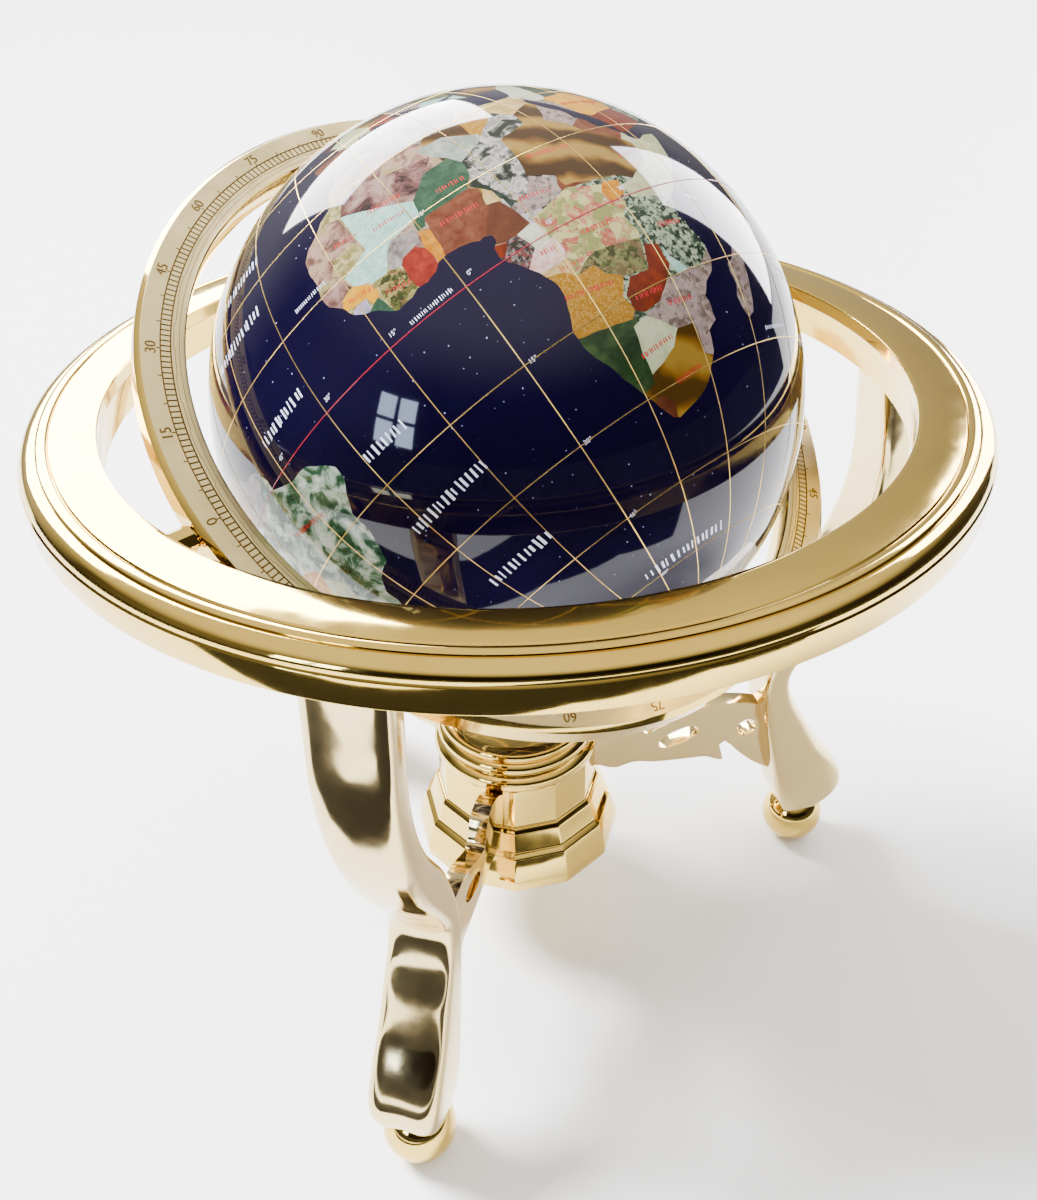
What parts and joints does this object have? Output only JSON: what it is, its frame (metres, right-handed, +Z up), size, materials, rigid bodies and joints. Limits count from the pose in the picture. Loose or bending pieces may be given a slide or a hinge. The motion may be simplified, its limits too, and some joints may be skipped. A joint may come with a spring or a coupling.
{
  "type": "gemstone globe",
  "caption": "Stone-inlaid globe turning inside a tilting graduated meridian ring and a horizon ring on S-curved legs with ball feet, tied to a stepped central hub.",
  "frame": {"origin": "on the floor under the middle of the stand", "axes": "+Z up along the stand's upright axis; the tilt pins lie along X, one leg points to +Y and the globe's north pole leans toward +Y"},
  "size_m": [0.3524, 0.3524, 0.3775],
  "materials": {
    "inlaid_globe": "polished navy resin with inlaid stone land and fine metal wires",
    "satin_gold": "satin gold plate with raised degree marks",
    "bright_gold": "mirror-polished gold plate",
    "pale_gold": "polished pale champagne plate"
  },
  "bodies": {
    "stand": {"horizon_ring": "bright_gold", "leg_back": "pale_gold", "leg_left": "pale_gold", "leg_right": "pale_gold", "ball_foot_back": "bright_gold", "ball_foot_left": "bright_gold", "ball_foot_right": "bright_gold", "scroll_plate_back": "pale_gold", "scroll_plate_left": "pale_gold", "scroll_plate_right": "pale_gold", "hub": "bright_gold", "tilt_pin_left": "bright_gold", "tilt_pin_right": "bright_gold"},
    "meridian": {"meridian_ring": "satin_gold", "axis_pin_north": "bright_gold", "axis_pin_south": "bright_gold"},
    "sphere": {"globe": "inlaid_globe"}
  },
  "joints": [
    {"name": "meridian_tilt", "type": "hinge", "parent": "stand", "child": "meridian", "pos_m": [0, 0, 0.268], "axis": [1, 0, 0], "continuous": true},
    {"name": "globe_spin", "type": "hinge", "parent": "meridian", "child": "sphere", "pos_m": [0, 0, 0.268], "axis": [0, 0.8271, 0.5621], "continuous": true}
  ]
}
